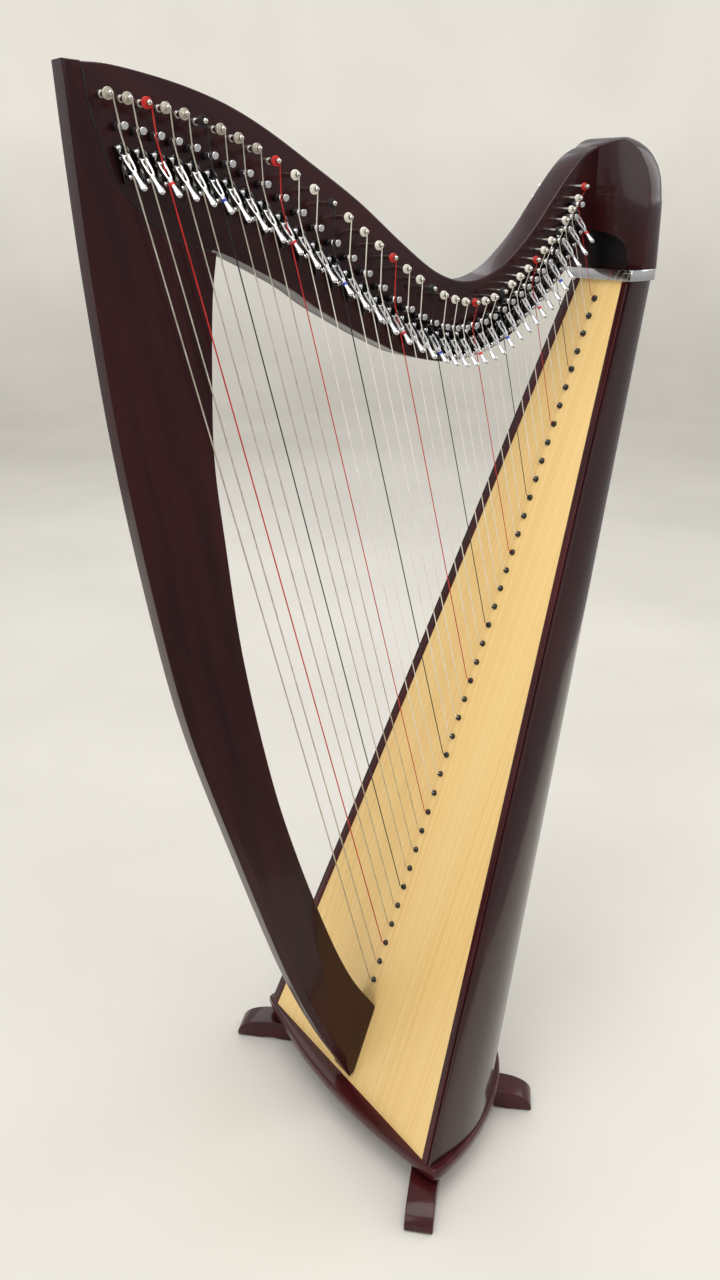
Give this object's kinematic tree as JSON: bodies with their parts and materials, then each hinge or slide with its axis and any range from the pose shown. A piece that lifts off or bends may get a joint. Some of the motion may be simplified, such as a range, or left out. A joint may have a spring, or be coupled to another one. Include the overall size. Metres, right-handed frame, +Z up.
{
  "type": "lever harp",
  "caption": "Floor-standing lever harp: curved pillar, plate neck, tapered soundbox with slanted spruce board, shoe feet, strings and flip-up pitch levers.",
  "frame": {"origin": "on the floor, under the middle of the harp's bounding box", "axes": "+Z up; +X from the pillar towards the soundbox and the player; -Y the lever side of the neck, the player's left"},
  "size_m": [0.7996, 0.5098, 1.4],
  "materials": {
    "lacquered_wood": "deep red-brown stain under high-gloss clear lacquer, fine grain just showing",
    "spruce": "natural spruce with fine straight grain up the board, satin lacquer",
    "inner_wood": "bare pale timber",
    "chrome": "polished chrome with light handling marks",
    "pin_steel": "polished steel",
    "black_parts": "moulded black with a soft shine",
    "bracket_black": "black enamelled steel",
    "string_natural": "gut-like monofilament, the long ones wound with bright wire",
    "string_red": "red dyed monofilament",
    "string_black": "blue-black dyed monofilament",
    "foot_wood": "deep red-brown stain under gloss lacquer, with black rubber soles"
  },
  "bodies": {
    "harp_frame": {"pillar": "lacquered_wood", "neck": "lacquered_wood", "shoulder": "lacquered_wood", "shoulder_band": "chrome", "soundboard": "spruce", "soundbox_shell": "lacquered_wood", "edge_bindings": "lacquered_wood", "inner_frame": "inner_wood", "string_rib": "inner_wood", "base_plinth": "lacquered_wood", "feet": "foot_wood", "foot_bolts": "pin_steel", "eyelets": "black_parts", "tuning_pins": "pin_steel", "bridge_pins": "chrome", "bridge_collars": "black_parts", "lever_brackets": "bracket_black", "lever_frets": "chrome", "lever_screws": "chrome", "strings_natural": "string_natural", "strings_red": "string_red", "strings_black": "string_black"},
    "pitch_lever_01": {"lever_01": "chrome"},
    "pitch_lever_02": {"lever_02": "chrome"},
    "pitch_lever_03": {"lever_03": "chrome"},
    "pitch_lever_04": {"lever_04": "chrome"},
    "pitch_lever_05": {"lever_05": "chrome"},
    "pitch_lever_06": {"lever_06": "chrome"},
    "pitch_lever_07": {"lever_07": "chrome"},
    "pitch_lever_08": {"lever_08": "chrome"},
    "pitch_lever_09": {"lever_09": "chrome"},
    "pitch_lever_10": {"lever_10": "chrome"},
    "pitch_lever_11": {"lever_11": "chrome"},
    "pitch_lever_12": {"lever_12": "chrome"},
    "pitch_lever_13": {"lever_13": "chrome"},
    "pitch_lever_14": {"lever_14": "chrome"},
    "pitch_lever_15": {"lever_15": "chrome"},
    "pitch_lever_16": {"lever_16": "chrome"},
    "pitch_lever_17": {"lever_17": "chrome"},
    "pitch_lever_18": {"lever_18": "chrome"},
    "pitch_lever_19": {"lever_19": "chrome"},
    "pitch_lever_20": {"lever_20": "chrome"},
    "pitch_lever_21": {"lever_21": "chrome"},
    "pitch_lever_22": {"lever_22": "chrome"},
    "pitch_lever_23": {"lever_23": "chrome"},
    "pitch_lever_24": {"lever_24": "chrome"},
    "pitch_lever_25": {"lever_25": "chrome"},
    "pitch_lever_26": {"lever_26": "chrome"},
    "pitch_lever_27": {"lever_27": "chrome"},
    "pitch_lever_28": {"lever_28": "chrome"},
    "pitch_lever_29": {"lever_29": "chrome"},
    "pitch_lever_30": {"lever_30": "chrome"},
    "pitch_lever_31": {"lever_31": "chrome"},
    "pitch_lever_32": {"lever_32": "chrome"},
    "pitch_lever_33": {"lever_33": "chrome"},
    "pitch_lever_34": {"lever_34": "chrome"},
    "pitch_lever_35": {"lever_35": "chrome"},
    "pitch_lever_36": {"lever_36": "chrome"},
    "pitch_lever_37": {"lever_37": "chrome"},
    "pitch_lever_38": {"lever_38": "chrome"}
  },
  "joints": [
    {"name": "lever_flip_01", "type": "hinge", "parent": "harp_frame", "child": "pitch_lever_01", "pos_m": [-0.34805, -0.02383, 1.31987], "axis": [-0.962, -0.0366, -0.2705], "range_deg": [0, 75]},
    {"name": "lever_flip_02", "type": "hinge", "parent": "harp_frame", "child": "pitch_lever_02", "pos_m": [-0.32963, -0.023, 1.31684], "axis": [-0.9618, -0.0366, -0.2714], "range_deg": [0, 75]},
    {"name": "lever_flip_03", "type": "hinge", "parent": "harp_frame", "child": "pitch_lever_03", "pos_m": [-0.31131, -0.02217, 1.31414], "axis": [-0.9615, -0.0366, -0.2722], "range_deg": [0, 75]},
    {"name": "lever_flip_04", "type": "hinge", "parent": "harp_frame", "child": "pitch_lever_04", "pos_m": [-0.29278, -0.02133, 1.31079], "axis": [-0.9613, -0.0365, -0.2731], "range_deg": [0, 75]},
    {"name": "lever_flip_05", "type": "hinge", "parent": "harp_frame", "child": "pitch_lever_05", "pos_m": [-0.27375, -0.02044, 1.30581], "axis": [-0.961, -0.0365, -0.274], "range_deg": [0, 75]},
    {"name": "lever_flip_06", "type": "hinge", "parent": "harp_frame", "child": "pitch_lever_06", "pos_m": [-0.25415, -0.0195, 1.29908], "axis": [-0.9608, -0.0365, -0.2747], "range_deg": [0, 75]},
    {"name": "lever_flip_07", "type": "hinge", "parent": "harp_frame", "child": "pitch_lever_07", "pos_m": [-0.23414, -0.01852, 1.29107], "axis": [-0.9607, -0.0365, -0.2753], "range_deg": [0, 75]},
    {"name": "lever_flip_08", "type": "hinge", "parent": "harp_frame", "child": "pitch_lever_08", "pos_m": [-0.21371, -0.01751, 1.28173], "axis": [-0.9605, -0.0365, -0.2759], "range_deg": [0, 75]},
    {"name": "lever_flip_09", "type": "hinge", "parent": "harp_frame", "child": "pitch_lever_09", "pos_m": [-0.19284, -0.01645, 1.27097], "axis": [-0.9603, -0.0365, -0.2764], "range_deg": [0, 75]},
    {"name": "lever_flip_10", "type": "hinge", "parent": "harp_frame", "child": "pitch_lever_10", "pos_m": [-0.17133, -0.01533, 1.25831], "axis": [-0.9602, -0.0364, -0.277], "range_deg": [0, 75]},
    {"name": "lever_flip_11", "type": "hinge", "parent": "harp_frame", "child": "pitch_lever_11", "pos_m": [-0.14925, -0.01417, 1.24394], "axis": [-0.96, -0.0364, -0.2775], "range_deg": [0, 75]},
    {"name": "lever_flip_12", "type": "hinge", "parent": "harp_frame", "child": "pitch_lever_12", "pos_m": [-0.12702, -0.01298, 1.22884], "axis": [-0.9599, -0.0364, -0.278], "range_deg": [0, 75]},
    {"name": "lever_flip_13", "type": "hinge", "parent": "harp_frame", "child": "pitch_lever_13", "pos_m": [-0.10521, -0.01182, 1.21399], "axis": [-0.9597, -0.0364, -0.2787], "range_deg": [0, 75]},
    {"name": "lever_flip_14", "type": "hinge", "parent": "harp_frame", "child": "pitch_lever_14", "pos_m": [-0.08341, -0.01065, 1.19891], "axis": [-0.9595, -0.0364, -0.2793], "range_deg": [0, 75]},
    {"name": "lever_flip_15", "type": "hinge", "parent": "harp_frame", "child": "pitch_lever_15", "pos_m": [-0.06161, -0.00947, 1.18333], "axis": [-0.9594, -0.0364, -0.2798], "range_deg": [0, 75]},
    {"name": "lever_flip_16", "type": "hinge", "parent": "harp_frame", "child": "pitch_lever_16", "pos_m": [-0.04021, -0.00833, 1.16854], "axis": [-0.9592, -0.0363, -0.2804], "range_deg": [0, 75]},
    {"name": "lever_flip_17", "type": "hinge", "parent": "harp_frame", "child": "pitch_lever_17", "pos_m": [-0.01959, -0.00725, 1.15584], "axis": [-0.959, -0.0363, -0.2812], "range_deg": [0, 75]},
    {"name": "lever_flip_18", "type": "hinge", "parent": "harp_frame", "child": "pitch_lever_18", "pos_m": [0.0002, -0.00624, 1.14529], "axis": [-0.9586, -0.0363, -0.2824], "range_deg": [0, 75]},
    {"name": "lever_flip_19", "type": "hinge", "parent": "harp_frame", "child": "pitch_lever_19", "pos_m": [0.01937, -0.00528, 1.13629], "axis": [-0.9581, -0.0362, -0.284], "range_deg": [0, 75]},
    {"name": "lever_flip_20", "type": "hinge", "parent": "harp_frame", "child": "pitch_lever_20", "pos_m": [0.03783, -0.00438, 1.12917], "axis": [-0.9576, -0.0362, -0.2859], "range_deg": [0, 75]},
    {"name": "lever_flip_21", "type": "hinge", "parent": "harp_frame", "child": "pitch_lever_21", "pos_m": [0.05552, -0.00355, 1.12427], "axis": [-0.957, -0.0361, -0.2878], "range_deg": [0, 75]},
    {"name": "lever_flip_22", "type": "hinge", "parent": "harp_frame", "child": "pitch_lever_22", "pos_m": [0.07226, -0.0028, 1.12177], "axis": [-0.9564, -0.0361, -0.2899], "range_deg": [0, 75]},
    {"name": "lever_flip_23", "type": "hinge", "parent": "harp_frame", "child": "pitch_lever_23", "pos_m": [0.08814, -0.00212, 1.12148], "axis": [-0.9557, -0.036, -0.2921], "range_deg": [0, 75]},
    {"name": "lever_flip_24", "type": "hinge", "parent": "harp_frame", "child": "pitch_lever_24", "pos_m": [0.1035, -0.00149, 1.12309], "axis": [-0.955, -0.0359, -0.2943], "range_deg": [0, 75]},
    {"name": "lever_flip_25", "type": "hinge", "parent": "harp_frame", "child": "pitch_lever_25", "pos_m": [0.11865, -0.0009, 1.12633], "axis": [-0.9546, -0.0359, -0.2958], "range_deg": [0, 75]},
    {"name": "lever_flip_26", "type": "hinge", "parent": "harp_frame", "child": "pitch_lever_26", "pos_m": [0.13376, -0.00034, 1.13165], "axis": [-0.9546, -0.0359, -0.2956], "range_deg": [0, 75]},
    {"name": "lever_flip_27", "type": "hinge", "parent": "harp_frame", "child": "pitch_lever_27", "pos_m": [0.14862, 0.00017, 1.13902], "axis": [-0.9552, -0.036, -0.2939], "range_deg": [0, 75]},
    {"name": "lever_flip_28", "type": "hinge", "parent": "harp_frame", "child": "pitch_lever_28", "pos_m": [0.16301, 0.00065, 1.14743], "axis": [-0.9557, -0.036, -0.2922], "range_deg": [0, 75]},
    {"name": "lever_flip_29", "type": "hinge", "parent": "harp_frame", "child": "pitch_lever_29", "pos_m": [0.17676, 0.0011, 1.15585], "axis": [-0.9555, -0.036, -0.2927], "range_deg": [0, 75]},
    {"name": "lever_flip_30", "type": "hinge", "parent": "harp_frame", "child": "pitch_lever_30", "pos_m": [0.18978, 0.00153, 1.16381], "axis": [-0.9542, -0.0359, -0.297], "range_deg": [0, 75]},
    {"name": "lever_flip_31", "type": "hinge", "parent": "harp_frame", "child": "pitch_lever_31", "pos_m": [0.20222, 0.00193, 1.17192], "axis": [-0.9518, -0.0356, -0.3046], "range_deg": [0, 75]},
    {"name": "lever_flip_32", "type": "hinge", "parent": "harp_frame", "child": "pitch_lever_32", "pos_m": [0.21416, 0.0023, 1.18081], "axis": [-0.9487, -0.0354, -0.3142], "range_deg": [0, 75]},
    {"name": "lever_flip_33", "type": "hinge", "parent": "harp_frame", "child": "pitch_lever_33", "pos_m": [0.22567, 0.00262, 1.1911], "axis": [-0.9454, -0.0351, -0.324], "range_deg": [0, 75]},
    {"name": "lever_flip_34", "type": "hinge", "parent": "harp_frame", "child": "pitch_lever_34", "pos_m": [0.23663, 0.0029, 1.20317], "axis": [-0.9421, -0.0348, -0.3335], "range_deg": [0, 75]},
    {"name": "lever_flip_35", "type": "hinge", "parent": "harp_frame", "child": "pitch_lever_35", "pos_m": [0.24704, 0.00313, 1.21662], "axis": [-0.9385, -0.0345, -0.3436], "range_deg": [0, 75]},
    {"name": "lever_flip_36", "type": "hinge", "parent": "harp_frame", "child": "pitch_lever_36", "pos_m": [0.25712, 0.00333, 1.23086], "axis": [-0.9348, -0.0341, -0.3537], "range_deg": [0, 75]},
    {"name": "lever_flip_37", "type": "hinge", "parent": "harp_frame", "child": "pitch_lever_37", "pos_m": [0.26708, 0.00352, 1.24531], "axis": [-0.9311, -0.0338, -0.3633], "range_deg": [0, 75]},
    {"name": "lever_flip_38", "type": "hinge", "parent": "harp_frame", "child": "pitch_lever_38", "pos_m": [0.27689, 0.0037, 1.26003], "axis": [-0.9278, -0.0336, -0.3715], "range_deg": [0, 75]}
  ]
}
